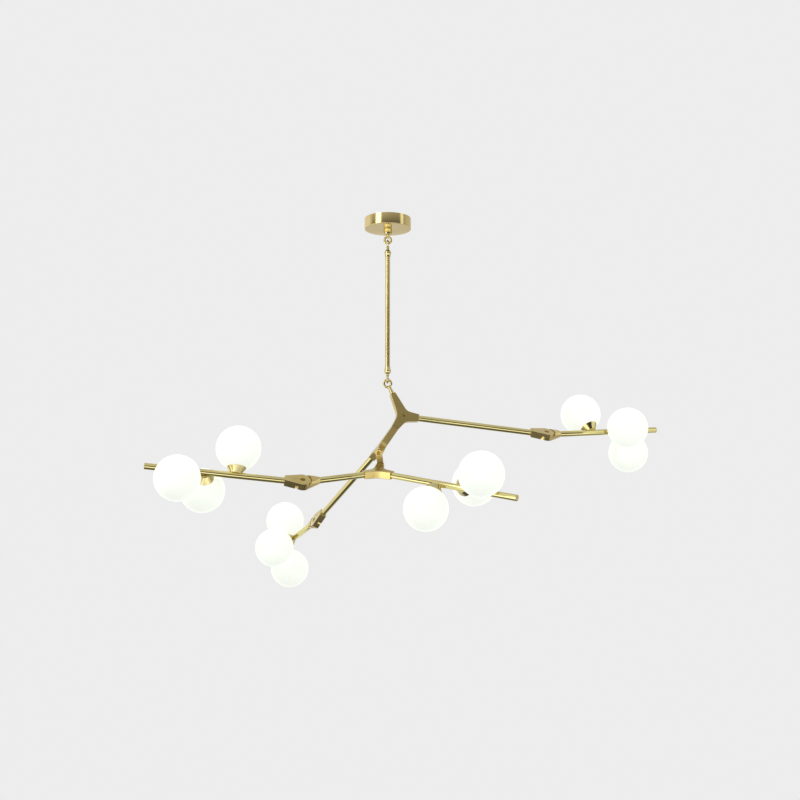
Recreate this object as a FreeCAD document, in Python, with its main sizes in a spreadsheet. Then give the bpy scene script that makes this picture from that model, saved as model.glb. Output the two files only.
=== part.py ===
import FreeCAD, Part
import math
import os

import Sketcher

# Branch chandelier: a ceiling canopy, a hanging rod between two pairs of linked
# rings, and three flat three-armed hubs that carry four branches of opal globes.
# Frame: origin in the ceiling plane at the canopy's centre, +Z up, +X to the
# right and +Y away from somebody who faces the lamp. Millimetres and degrees.

V = FreeCAD.Vector
ORIGIN = V(0, 0, 0)
EX, EY, EZ = V(1, 0, 0), V(0, 1, 0), V(0, 0, 1)

# ------------------------------------------------------------------ dimensions
DRIVING = {
    # ceiling group
    "CanopyRadius": 68, "CanopyHeight": 32, "CanopyWall": 1.5, "CanopyEdge": 2,
    "BarLength": 112, "BarWidth": 20, "BarThick": 2.5, "SlotSpacing": 88,
    "SlotWidth": 4.5, "SlotLength": 12,
    "NippleRadius": 5, "NippleBore": 3.5, "NippleEnd": 38, "NutAcross": 17, "NutHeight": 5,
    "CollarRadius": 12, "CollarHeight": 16, "CollarFloor": 4, "CollarCavity": 7,
    # linked rings and rod
    "WireRadius": 3.5, "SmallRing": 9.5, "HubRing": 10.5, "RingPlay": 0.3,
    "EyeDrop": 65, "HubEyeDrop": 489, "NeckRadius": 4.5, "NeckFoot": 7, "ShankRadius": 3,
    "BallRadius": 10, "BallDrop": 26.3, "LowBallRise": 36.5, "BandRadius": 8.2, "BandReach": 12.5,
    "RodRadius": 6.8, "RodSeat": 4,
    # hubs and link plate
    "LongArm": 72, "ShortArm": 45, "ArmHalf": 10, "TipHalf": 7.2, "HubThick": 20,
    "CrotchOut": 17.5, "CrotchRadius": 26, "EdgeBreak": 0.8, "HubNeck": 33, "StudRadius": 3,
    "HubScrewRadius": 4, "HubScrewHead": 2, "LinkSpan": 38.5, "LinkThick": 8,
    "LinkHalf": 8.8, "LinkScrewRadius": 5, "LinkScrewHead": 3,
    # how the hubs are turned to one another
    "Lean": 25, "UpperTurn": 13.7, "MiddleTwist": 2.3, "LinkLean": 6, "LowerTwist": 1.6,
    # tubes
    "TubeRadius": 8.6, "TubeWall": 1.5, "SocketDepth": 14, "FitGap": 0.05,
    "LeftInner": 179, "RightInner": 386, "FarInner": 362,
    "OuterLength": 412, "FrontLength": 382, "WireHole": 2.8, "CapPlug": 8, "CapThick": 2,
    # knuckles: a half-lap hinge
    "KnuckleLength": 48, "HeadRadius": 21.5, "KnuckleThick": 20, "LapGap": 0.3,
    "ReliefRadius": 25.6, "ShoulderBack": 1, "ShoulderHalf": 22.6, "NoseHalf": 10,
    "PivotRadius": 4, "PivotHead": 6.75, "PivotSink": 1.5, "PivotProud": 0.5,
    "LeftRoll": -41.69, "RightRoll": 32.63, "FarRoll": -65,
    "LeftBend": -20.2, "RightBend": 19.65, "FarBend": -14.5,
    # lamp units
    "GlobeRadius": 60, "GlobeWall": 2.5, "GlobeOut": 77, "GlobeMouth": 12,
    "CupFoot": 14, "CupRim": 26, "CupBase": 5, "CupFloor": 10.5, "CupTop": 22.1,
    "CupWall": 1.7, "HolderRadius": 10, "HolderHeight": 22, "BulbRadius": 8, "BulbLength": 45,
    # where each lamp unit stands: distance along its tube, and turn about it
    "LeftUpperAlong": 176.1, "LeftUpperTurn": 345.3,
    "LeftFrontAlong": 325.1, "LeftFrontTurn": 111.2,
    "LeftLowerAlong": 257.5, "LeftLowerTurn": 235.4,
    "FarUpperAlong": 252, "FarUpperTurn": 357.8,
    "FarMiddleAlong": 184.3, "FarMiddleTurn": 115.5,
    "FarLowerAlong": 271.3, "FarLowerTurn": 189.6,
    "FrontLowerAlong": 141.7, "FrontLowerTurn": 154.5,
    "FrontUpperAlong": 303.9, "FrontUpperTurn": 54.3,
    "FrontRearAlong": 213.1, "FrontRearTurn": 281.1,
    "RightRearAlong": 168.7, "RightRearTurn": 321.4,
    "RightFrontAlong": 242.1, "RightFrontTurn": 87.1,
    "RightLowerAlong": 333.6, "RightLowerTurn": 213.8,
    # two outer tubes have thick walls, so that the hanging lamp is level
    "LeftOuterWall": 5.8, "FrontWall": 4.3,
    # terminal block under the crossbar
    "BlockLength": 34, "BlockWidth": 16, "BlockHeight": 13, "BlockInset": 12,
}

doc = FreeCAD.newDocument("BranchChandelier")
sheet = doc.addObject("Spreadsheet::Sheet", "Dims")
for row, (alias, value) in enumerate(DRIVING.items(), start=1):
    cell = "A%d" % row
    sheet.set(cell, str(value))
    sheet.setAlias(cell, alias)
doc.recompute()


def size(alias):
    """The number held in the sheet under this alias."""
    return float(sheet.get(alias))


# --------------------------------------------------------------------- helpers
def unit(v):
    return V(v).normalize()


def square_to(v, axis):
    """The part of v that is perpendicular to axis, as a unit vector."""
    axis = unit(axis)
    return unit(V(v) - axis * V(v).dot(axis))


def turned_about(v, axis, degrees):
    return FreeCAD.Rotation(axis, degrees).multVec(v)


def frame(origin, x_dir, z_dir):
    """Placement with local Z along z_dir and local X as near x_dir as it can be."""
    z_dir = unit(z_dir)
    x_dir = square_to(x_dir, z_dir)
    return FreeCAD.Placement(V(origin), FreeCAD.Rotation(x_dir, z_dir.cross(x_dir), z_dir, "ZXY"))


def along(origin, z_dir):
    """Placement whose local Z runs along z_dir, for pieces that are round about Z."""
    helper = EZ if abs(unit(z_dir).z) < 0.9 else EX
    return frame(origin, helper, z_dir)


def bind(obj, **expressions):
    for name, expression in expressions.items():
        obj.setExpression(name, expression)
    return obj


def cylinder(name, radius, height, base=ORIGIN, axis=EZ):
    obj = bind(doc.addObject("Part::Cylinder", name), Radius=radius, Height=height)
    obj.Placement = along(base, axis)
    return obj


def sphere(name, radius, centre=ORIGIN):
    obj = bind(doc.addObject("Part::Sphere", name), Radius=radius)
    obj.Placement.Base = centre
    return obj


def ring(name, mean_radius, centre, axis):
    obj = bind(doc.addObject("Part::Torus", name), Radius1=mean_radius, Radius2="Dims.WireRadius")
    obj.Placement = along(centre, axis)
    return obj


def cut(name, base, tools):
    obj = doc.addObject("Part::Cut", name)
    obj.Base = base
    obj.Tool = tools[0] if len(tools) == 1 else fuse(name + "_tools", tools)
    return obj


def fuse(name, parts):
    obj = doc.addObject("Part::MultiFuse", name)
    obj.Shapes = parts
    return obj


def group(name, parts):
    obj = doc.addObject("Part::Compound", name)
    obj.Links = parts
    return obj


def sketch_outline(body, plane, points):
    """Closed outline through points, each a pair of expressions, on one origin plane."""
    sketch = body.newObject("Sketcher::SketchObject", body.Name + "_outline")
    support = [f for f in body.Origin.OriginFeatures if f.Role == plane][0]
    sketch.AttachmentSupport = [(support, "")]
    sketch.MapMode = "FlatFace"
    count = len(points)
    start = [V(10 * math.cos(2 * math.pi * i / count), 10 * math.sin(2 * math.pi * i / count), 0)
             for i in range(count)]
    for i in range(count):
        sketch.addGeometry(Part.LineSegment(start[i], start[(i + 1) % count]), False)
    for i in range(count):
        sketch.addConstraint(Sketcher.Constraint("Coincident", i, 2, (i + 1) % count, 1))
    for i, pair in enumerate(points):
        for kind, expression, value in zip(("DistanceX", "DistanceY"), pair, (start[i].x, start[i].y)):
            index = sketch.addConstraint(Sketcher.Constraint(kind, -1, 1, i, 1, value))
            sketch.setExpression("Constraints[%d]" % index, expression)
    return sketch


def turned(name, profile):
    """Piece turned about local Z from (radius, height) pairs of expressions."""
    body = doc.addObject("PartDesign::Body", name)
    sketch = sketch_outline(body, "XZ_Plane", profile)
    doc.recompute()
    spin = body.newObject("PartDesign::Revolution", name + "_turned")
    spin.Profile = sketch
    spin.ReferenceAxis = (sketch, ["V_Axis"])
    spin.Angle = 360
    return body


def padded(name, outline, thickness):
    """Flat piece, its outline in local XY, thickness shared equally about XY."""
    body = doc.addObject("PartDesign::Body", name)
    sketch = sketch_outline(body, "XY_Plane", outline)
    doc.recompute()
    pad = body.newObject("PartDesign::Pad", name + "_pad")
    pad.Profile = sketch
    pad.SideType = "Symmetric"
    bind(pad, Length=thickness)
    doc.recompute()
    return body


NODES = {}


def piece(node, obj, placement=None):
    """Name a finished sub-part and put it in its place."""
    obj.Label = node
    if placement is not None:
        obj.Placement = placement
    NODES[node] = obj
    return obj


# -------------------------------------------------------------- where things go
def layout():
    """Centres and directions of the hubs, arms, pivots and tubes."""
    place = {}
    ring_centre = V(0, 0, -size("HubEyeDrop"))
    lean = math.radians(size("Lean"))
    third = math.sqrt(3) / 2
    long_arm, short_arm = size("LongArm"), size("ShortArm")

    # upper hub, hung from its ring
    up0 = V(-math.sin(lean), 0, math.cos(lean))
    face0 = turned_about(square_to(-EY, up0), up0, size("UpperTurn"))
    side0 = face0.cross(up0)
    side0 = side0 if side0.x > 0 else -side0
    centre1 = ring_centre - up0 * (long_arm + size("HubNeck"))
    right_dir = up0 * -0.5 + side0 * third
    down_dir = up0 * -0.5 - side0 * third

    # middle hub, butted to the upper hub's lower arm, its plane square to the first
    up2 = -down_dir
    centre2 = centre1 + down_dir * (long_arm + short_arm)
    side2 = turned_about(face0, up2, size("MiddleTwist"))
    near_dir = up2 * -0.5 + side2 * third
    far_dir = up2 * -0.5 - side2 * third

    # link plate down the end of the near arm, lower hub in front of it
    near_end = centre2 + near_dir * short_arm
    drop_dir = turned_about(square_to(-EZ, near_dir), near_dir, size("LinkLean"))
    link_end = near_end + drop_dir * size("LinkSpan") + near_dir * size("LinkThick")
    up3 = -near_dir
    centre3 = link_end - up3 * long_arm
    side3 = unit(up3.cross(EZ))
    side3 = side3 if side3.x > 0 else -side3
    side3 = turned_about(side3, up3, size("LowerTwist"))
    left_dir = up3 * -0.5 - side3 * third
    front_dir = up3 * -0.5 + side3 * third

    def hinge_axis(direction, roll):
        upright = square_to(EZ, direction)
        roll = math.radians(roll)
        return upright * math.cos(roll) + direction.cross(upright) * math.sin(roll)

    place["ring_centre"] = ring_centre
    place["upper"] = (centre1, up0, side0)
    place["middle"] = (centre2, up2, side2)
    place["lower"] = (centre3, up3, side3)
    place["link"] = (near_end, near_dir, drop_dir)
    place["down_dir"] = down_dir
    branches = {}
    for name, centre, direction in (("left", centre3, left_dir), ("right", centre1, right_dir),
                                    ("far", centre2, far_dir)):
        side = name.capitalize()
        inner, bend = size(side + "Inner"), size(side + "Bend")
        arm_end = centre + direction * short_arm
        axis = hinge_axis(direction, size(side + "Roll"))
        branches[name] = {"arm_end": arm_end, "inner_dir": direction, "axis": axis,
                          "pivot": arm_end + direction * inner, "inner_length": inner,
                          "dir": turned_about(direction, axis, bend)}
    arm_end = centre3 + front_dir * short_arm
    branches["front"] = {"arm_end": arm_end, "pivot": arm_end, "dir": front_dir}
    place["branches"] = branches
    return place


PLACE = layout()
BRANCHES = PLACE["branches"]


# --------------------------------------------------------------- ceiling group
def ceiling_group():
    canopy = turned("canopy_body", [
        ("Dims.CanopyRadius-Dims.CanopyWall", "0"),
        ("Dims.CanopyRadius", "0"),
        ("Dims.CanopyRadius", "-Dims.CanopyHeight+Dims.CanopyEdge"),
        ("Dims.CanopyRadius-Dims.CanopyEdge", "-Dims.CanopyHeight"),
        ("Dims.NippleRadius+0.2", "-Dims.CanopyHeight"),
        ("Dims.NippleRadius+0.2", "-Dims.CanopyHeight+Dims.CanopyWall"),
        ("Dims.CanopyRadius-Dims.CanopyEdge-0.6", "-Dims.CanopyHeight+Dims.CanopyWall"),
        ("Dims.CanopyRadius-Dims.CanopyWall", "-Dims.CanopyHeight+Dims.CanopyEdge+0.6")])
    piece("canopy", canopy)

    bar = bind(doc.addObject("Part::Box", "bar_blank"),
               Length="Dims.BarLength", Width="Dims.BarWidth", Height="Dims.BarThick")
    bar.Placement.Base = V(-size("BarLength") / 2, -size("BarWidth") / 2, -size("BarThick"))
    tools = [cylinder("bar_bore", "Dims.NippleRadius+0.1", "Dims.BarThick*3",
                      V(0, 0, -2 * size("BarThick")))]
    for side in (-1, 1):
        middle = side * size("SlotSpacing") / 2
        half = (size("SlotLength") - size("SlotWidth")) / 2
        slot = bind(doc.addObject("Part::Box", "bar_slot"), Length="Dims.SlotLength-Dims.SlotWidth",
                    Width="Dims.SlotWidth", Height="Dims.BarThick*3")
        slot.Placement.Base = V(middle - half, -size("SlotWidth") / 2, -2 * size("BarThick"))
        tools.append(slot)
        for end in (-half, half):
            tools.append(cylinder("bar_slot_end", "Dims.SlotWidth/2", "Dims.BarThick*3",
                                  V(middle + end, 0, -2 * size("BarThick"))))
    piece("crossbar", cut("crossbar_cut", bar, tools))

    piece("nipple", turned("nipple_body", [
        ("Dims.NippleBore", "-0.4"), ("Dims.NippleRadius", "-0.4"),
        ("Dims.NippleRadius", "-Dims.NippleEnd"), ("Dims.NippleBore", "-Dims.NippleEnd")]))

    hexagon = bind(doc.addObject("Part::Prism", "nut_blank"), Circumradius="Dims.NutAcross/sqrt(3)",
                   Height="Dims.NutHeight")
    hexagon.Polygon = 6
    bore = cylinder("nut_bore", "Dims.NippleRadius", "Dims.NutHeight*3", V(0, 0, -size("NutHeight")))
    piece("nipple_nut", cut("nut_cut", hexagon, [bore]),
          FreeCAD.Placement(V(0, 0, -size("BarThick") - size("NutHeight")), FreeCAD.Rotation()))

    block = bind(doc.addObject("Part::Box", "block_blank"), Length="Dims.BlockLength",
                 Width="Dims.BlockWidth", Height="Dims.BlockHeight")
    ways = [cylinder("block_way", "Dims.WireHole-1", "2*Dims.BlockWidth",
                     V(size("BlockLength") * part, -size("BlockWidth") / 2, size("BlockHeight") / 2), EY)
            for part in (0.2, 0.5, 0.8)]
    piece("terminal_block", cut("block_cut", block, ways),
          FreeCAD.Placement(V(size("BlockInset"), -size("BlockWidth") / 2,
                              -size("BarThick") - size("BlockHeight")), FreeCAD.Rotation()))

    # the collar screws on the nipple, clamps the canopy and carries the swivel eye
    piece("collar", turned("collar_body", [
        ("Dims.NippleRadius", "-Dims.CanopyHeight"),
        ("Dims.CollarRadius", "-Dims.CanopyHeight"),
        ("Dims.CollarRadius", "-Dims.CanopyHeight-Dims.CollarHeight+1"),
        ("Dims.CollarRadius-1", "-Dims.CanopyHeight-Dims.CollarHeight"),
        ("Dims.ShankRadius+Dims.FitGap", "-Dims.CanopyHeight-Dims.CollarHeight"),
        ("Dims.ShankRadius+Dims.FitGap", "-Dims.CanopyHeight-Dims.CollarHeight+Dims.CollarFloor"),
        ("Dims.CollarCavity", "-Dims.CanopyHeight-Dims.CollarHeight+Dims.CollarFloor"),
        ("Dims.CollarCavity", "-Dims.NippleEnd"),
        ("Dims.NippleRadius", "-Dims.NippleEnd")]))


# ------------------------------------------------------- linked rings and rod
def hanging_rod():
    floor = -size("CanopyHeight") - size("CollarHeight") + size("CollarFloor")
    eye_centre = V(0, 0, -size("EyeDrop"))
    small, hub = size("SmallRing"), size("HubRing")
    step = 2 * size("WireRadius") + size("RingPlay")

    shank_foot = floor - size("CollarFloor") - 0.3
    eye = fuse("top_eye_fuse", [
        ring("top_eye_ring", "Dims.SmallRing", eye_centre, EY),
        cylinder("top_eye_head", "Dims.CollarCavity-1", "3", V(0, 0, floor + 0.05)),
        cylinder("top_eye_shank", "Dims.ShankRadius", "Dims.CollarFloor+2", V(0, 0, shank_foot - 0.5)),
        cylinder("top_eye_neck", "Dims.NeckRadius", "%g" % (shank_foot - eye_centre.z - small),
                 V(0, 0, eye_centre.z + small))])
    piece("top_eye", eye)

    loop_centre = V(0, 0, eye_centre.z - 2 * small + step)
    ball_top = loop_centre - EZ * size("BallDrop")
    low_centre = V(0, 0, -size("HubEyeDrop") + hub - step + small)
    ball_low = V(0, 0, -size("HubEyeDrop") + size("LowBallRise"))
    for node, centre, ball, sign in (("rod_top_loop", loop_centre, ball_top, -1),
                                     ("rod_bottom_loop", low_centre, ball_low, 1)):
        neck = cylinder(node + "_neck", "Dims.NeckRadius",
                        "%g" % (abs(ball.z - centre.z) - small - size("BallRadius") / 2),
                        V(0, 0, centre.z + sign * small), EZ * sign)
        band = cylinder(node + "_band", "Dims.BandRadius", "Dims.BandReach", ball, EZ * sign)
        body = fuse(node + "_fuse", [ring(node + "_ring", "Dims.SmallRing", centre, EX), neck, band,
                                     sphere(node + "_ball", "Dims.BallRadius", ball)])
        seat = cylinder(node + "_seat", "Dims.RodRadius+Dims.FitGap", "Dims.BallRadius*2",
                        V(0, 0, ball.z + sign * size("RodSeat")), EZ * sign)
        piece(node, cut(node + "_cut", body, [seat]))

    top, foot = ball_top.z - size("RodSeat"), ball_low.z + size("RodSeat")
    piece("rod", cylinder("rod_bar", "Dims.RodRadius", "%g" % (top - foot), V(0, 0, foot)))

    up0 = PLACE["upper"][1]
    centre = PLACE["ring_centre"]
    neck = bind(doc.addObject("Part::Cone", "hub_eye_neck"), Radius1="Dims.NeckRadius",
                Radius2="Dims.NeckFoot", Height="Dims.HubNeck-Dims.HubRing")
    neck.Placement = along(centre - up0 * hub, -up0)
    piece("hub_eye", fuse("hub_eye_fuse", [
        ring("hub_eye_ring", "Dims.HubRing", centre, EY), neck,
        cylinder("hub_eye_stud", "Dims.StudRadius", "Dims.SocketDepth",
                 centre - up0 * size("HubNeck"), -up0)]))


# ------------------------------------------------------------------------ hubs
def hub(node, tip_half, bores):
    """Three-armed plate: long arm along local X, short arms 120 degrees either side."""
    long_arm, short, half, s = "Dims.LongArm", "Dims.ShortArm", "Dims.ArmHalf", "sqrt(3)/2"
    crotch_out = "Dims.CrotchOut"
    body = padded(node + "_body", [
        (long_arm, "-" + tip_half),
        (long_arm, tip_half),
        (crotch_out + "/2", s + "*" + crotch_out),
        ("-0.5*%s+%s*%s" % (short, s, half), "%s*%s+0.5*%s" % (s, short, half)),
        ("-0.5*%s-%s*%s" % (short, s, half), "%s*%s-0.5*%s" % (s, short, half)),
        ("-" + crotch_out, "0"),
        ("-0.5*%s-%s*%s" % (short, s, half), "-%s*%s+0.5*%s" % (s, short, half)),
        ("-0.5*%s+%s*%s" % (short, s, half), "-%s*%s-0.5*%s" % (s, short, half)),
        (crotch_out + "/2", "-" + s + "*" + crotch_out)], "Dims.HubThick")
    pad = body.Tip
    corners = []
    for i, edge in enumerate(pad.Shape.Edges, start=1):
        middle = edge.valueAt((edge.FirstParameter + edge.LastParameter) / 2)
        if abs(middle.z) < 0.1 and math.hypot(middle.x, middle.y) < 1.1 * size("CrotchOut"):
            corners.append("Edge%d" % i)
    crotch = body.newObject("PartDesign::Fillet", node + "_crotch")
    crotch.Base = (pad, corners)
    bind(crotch, Radius="Dims.CrotchRadius")
    body.Tip = crotch
    doc.recompute()
    flats = ["Face%d" % i for i, face in enumerate(body.Shape.Faces, start=1)
             if abs(face.CenterOfMass.z) > 0.45 * size("HubThick")]
    edges = body.newObject("PartDesign::Chamfer", node + "_edges")
    edges.Base = (crotch, flats)
    bind(edges, Size="Dims.EdgeBreak")
    body.Tip = edges
    doc.recompute()

    tools = []
    for angle, kind in bores:
        axis = V(math.cos(math.radians(angle)), math.sin(math.radians(angle)), 0)
        reach = size("LongArm") if angle == 0 else size("ShortArm")
        radius = {"tube": "Dims.TubeRadius+Dims.FitGap", "stud": "Dims.StudRadius+Dims.FitGap",
                  "spigot": "Dims.NippleRadius+Dims.FitGap"}[kind]
        tools.append(cylinder(node + "_bore", radius, "Dims.SocketDepth+1", axis * (reach + 1), -axis))
    tools.append(cylinder(node + "_screw_seat", "Dims.HubScrewRadius+0.1", "Dims.HubScrewHead+1",
                          V(0, 0, size("HubThick") / 2 + 1), -EZ))
    tools.append(cylinder(node + "_screw_bore", "Dims.StudRadius-1", "Dims.HubThick/2",
                          V(0, 0, size("HubThick") / 2 + 1), -EZ))
    return cut(node + "_cut", body, tools)


def hub_frame(name, face_towards):
    """A hub's frame, its screwed face (+Z) turned to the side named."""
    centre, long_dir, side = PLACE[name]
    face = long_dir.cross(side)
    face = face if face.dot(face_towards) > 0 else -face
    return frame(centre, long_dir, face)


def hubs():
    down = PLACE["down_dir"]
    frames = {"upper": hub_frame("upper", -EY), "middle": hub_frame("middle", EX),
              "lower": hub_frame("lower", EZ)}

    def local_angle(name, direction):
        inside = frames[name].Rotation.inverted().multVec(direction)
        return round(math.degrees(math.atan2(inside.y, inside.x)))

    right = local_angle("upper", BRANCHES["right"]["inner_dir"])
    lower = local_angle("upper", down)
    piece("hub_upper", hub("hub_upper", "Dims.TipHalf",
                           [(0, "stud"), (right, "tube"), (lower, "spigot")]), frames["upper"])

    far = local_angle("middle", BRANCHES["far"]["inner_dir"])
    near = local_angle("middle", PLACE["link"][1])
    middle = hub("hub_middle_blank", "Dims.ArmHalf", [(far, "tube"), (near, "stud")])
    spigot = cylinder("hub_middle_spigot", "Dims.NippleRadius", "Dims.SocketDepth+4",
                      V(size("LongArm") - 4, 0, 0), EX)
    piece("hub_middle", fuse("hub_middle_fuse", [middle, spigot]), frames["middle"])

    piece("hub_lower", hub("hub_lower", "Dims.ArmHalf",
                           [(0, "stud"), (120, "tube"), (-120, "tube")]), frames["lower"])

    # link plate: local X down the plate, local Z out of the near arm's end
    near_end, near_dir, drop_dir = PLACE["link"]
    plate = bind(doc.addObject("Part::Box", "link_blank"), Length="Dims.LinkSpan",
                 Width="2*Dims.LinkHalf", Height="Dims.LinkThick")
    plate.Placement.Base = V(0, -size("LinkHalf"), 0)
    span = size("LinkSpan")
    rounded = fuse("link_round", [plate,
                                  cylinder("link_end_a", "Dims.LinkHalf", "Dims.LinkThick"),
                                  cylinder("link_end_b", "Dims.LinkHalf", "Dims.LinkThick", V(span, 0, 0))])
    holes = [cylinder("link_hole", "Dims.StudRadius+0.2", "Dims.LinkThick*3", V(x, 0, -size("LinkThick")))
             for x in (0, span)]
    thick, sunk = size("LinkThick"), size("LinkScrewHead")
    for x, face, sign in ((0, thick, 1), (span, 0, -1)):
        holes.append(cylinder("link_sink", "Dims.LinkScrewRadius+0.2", "Dims.LinkScrewHead+1",
                              V(x, 0, face - sign * sunk), EZ * sign))
    link_frame = frame(near_end, drop_dir, near_dir)
    piece("link_plate", cut("link_cut", rounded, holes), link_frame)

    # all small screws of this group: three in the hub faces, two through the link plate
    screws = []
    for name in ("upper", "middle", "lower"):
        seat = size("HubThick") / 2 - size("HubScrewHead")
        head = cylinder("hub_screw_head", "Dims.HubScrewRadius", "Dims.HubScrewHead", V(0, 0, seat))
        shank = cylinder("hub_screw_shank", "Dims.StudRadius-1", "7", V(0, 0, seat), -EZ)
        screw = fuse("hub_screw_" + name, [head, shank])
        screw.Placement = frames[name]
        screws.append(screw)
    for x, face, sign in ((0, thick, 1), (span, 0, -1)):
        head = cylinder("link_screw_head", "Dims.LinkScrewRadius", "Dims.LinkScrewHead",
                        V(x, 0, face), EZ * -sign)
        shank = cylinder("link_screw_shank", "Dims.StudRadius", "Dims.LinkThick+Dims.SocketDepth-1",
                         V(x, 0, face), EZ * -sign)
        socket = bind(doc.addObject("Part::Prism", "link_screw_socket"), Circumradius="2.3", Height="4")
        socket.Polygon = 6
        socket.Placement = along(V(x, 0, face - sign * 1.8), EZ * sign)
        screw = cut("link_screw", fuse("link_screw_fuse", [head, shank]), [socket])
        screw.Placement = link_frame
        screws.append(screw)
    piece("hub_and_link_screws", group("screw_group", screws))


# ----------------------------------------------------------------------- tubes
def tube(node, length, placement, hole_dirs=(), wall="Dims.TubeWall"):
    """Tube along local Z, drilled at each (distance, direction) for the lamp wires."""
    body = turned(node + "_body", [
        ("Dims.TubeRadius-" + wall, "0"), ("Dims.TubeRadius", "0"),
        ("Dims.TubeRadius", length), ("Dims.TubeRadius-" + wall, length)])
    if not hole_dirs:
        return piece(node, body, placement)
    inverse = placement.Rotation.inverted()
    tools = [cylinder(node + "_drill", "Dims.WireHole", "Dims.TubeRadius*2",
                      V(0, 0, distance), inverse.multVec(direction))
             for distance, direction in hole_dirs]
    return piece(node, cut(node + "_cut", body, tools), placement)


# -------------------------------------------------------------------- knuckles
def knuckle_half(node, placement, boxy):
    """Half of a half-lap hinge: pivot on local Z, tube socket along local X.

    The boxy half keeps the upper lap and full corners; the other half has the
    lower lap and tapers to a round nose.
    """
    sign = 1 if boxy else -1
    half = size("KnuckleThick") / 2
    wedge = padded(node + "_wedge", [
        ("-Dims.ShoulderBack", "-Dims.ShoulderHalf"), ("Dims.KnuckleLength", "-Dims.NoseHalf"),
        ("Dims.KnuckleLength", "Dims.NoseHalf"), ("-Dims.ShoulderBack", "Dims.ShoulderHalf"),
        ("0", "0")], "Dims.KnuckleThick")
    if not boxy:
        taper = bind(doc.addObject("Part::Cone", node + "_taper"), Radius1="Dims.HeadRadius+2.5",
                     Radius2="Dims.TubeRadius+1.2", Height="Dims.KnuckleLength")
        taper.Placement = along(ORIGIN, EX)
        nose = doc.addObject("Part::MultiCommon", node + "_nose")
        nose.Shapes = [wedge, taper]
        wedge = nose
    head = cylinder(node + "_head", "Dims.HeadRadius", "Dims.KnuckleThick", V(0, 0, -half))
    blank = fuse(node + "_blank", [wedge, head])
    relief = cylinder(node + "_relief", "Dims.ReliefRadius", "Dims.KnuckleThick",
                      V(0, 0, sign * size("LapGap") / 2), EZ * -sign)
    bore = cylinder(node + "_pivot_bore", "Dims.PivotRadius+Dims.FitGap", "Dims.KnuckleThick*2",
                    V(0, 0, -2 * half))
    sink = cylinder(node + "_sink", "Dims.PivotHead+0.25", "Dims.PivotSink+1",
                    V(0, 0, sign * (half - size("PivotSink"))), EZ * sign)
    socket = cylinder(node + "_socket", "Dims.TubeRadius+Dims.FitGap", "Dims.SocketDepth+1",
                      V(size("KnuckleLength") + 1, 0, 0), -EX)
    return piece(node, cut(node + "_cut", blank, [relief, bore, sink, socket]), placement)


def pivot_screw(node, placement):
    """Slotted pivot screw with its round nut, along local Z."""
    half, sink, gap = size("KnuckleThick") / 2, size("PivotSink"), 0.05
    shank = cylinder(node + "_shank", "Dims.PivotRadius", "Dims.KnuckleThick-2*Dims.PivotSink",
                     V(0, 0, -half + sink))
    parts = [shank]
    for sign in (1, -1):
        parts.append(cylinder(node + "_head", "Dims.PivotHead",
                              "Dims.PivotSink+Dims.PivotProud-%g" % gap,
                              V(0, 0, sign * (half - sink + gap)), EZ * sign))
        parts.append(cylinder(node + "_step", "Dims.PivotRadius", "1",
                              V(0, 0, sign * (half - sink - 0.5)), EZ * sign))
    slots = []
    for sign in (1, -1):
        slot = doc.addObject("Part::Box", node + "_slot")
        slot.Length, slot.Width, slot.Height = 20, 1.6, 2
        slot.Placement.Base = V(-10, -0.8, half + size("PivotProud") - 1 if sign > 0
                                else -half - size("PivotProud") - 1)
        slots.append(slot)
    return piece(node, cut(node + "_cut", fuse(node + "_fuse", parts), slots), placement)


# ------------------------------------------------------------------ lamp units
def unit_frames(branch):
    """(distance, placement) of each lamp unit: local X along the tube, Z outward."""
    names = {"left": ("Upper", "Front", "Lower"), "far": ("Upper", "Middle", "Lower"),
             "front": ("Lower", "Upper", "Rear"), "right": ("Rear", "Front", "Lower")}[branch]
    direction, start = BRANCHES[branch]["dir"], BRANCHES[branch]["pivot"]
    upright = square_to(EZ, direction)
    toward = unit(square_to(-EY, direction) - upright * square_to(-EY, direction).dot(upright))
    units = []
    for name in names:
        alias = branch.capitalize() + name
        distance, turn = size(alias + "Along"), math.radians(size(alias + "Turn"))
        out = upright * math.cos(turn) + toward * math.sin(turn)
        units.append((name.lower(), distance, out, frame(start + direction * distance, direction, out)))
    return units


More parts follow.
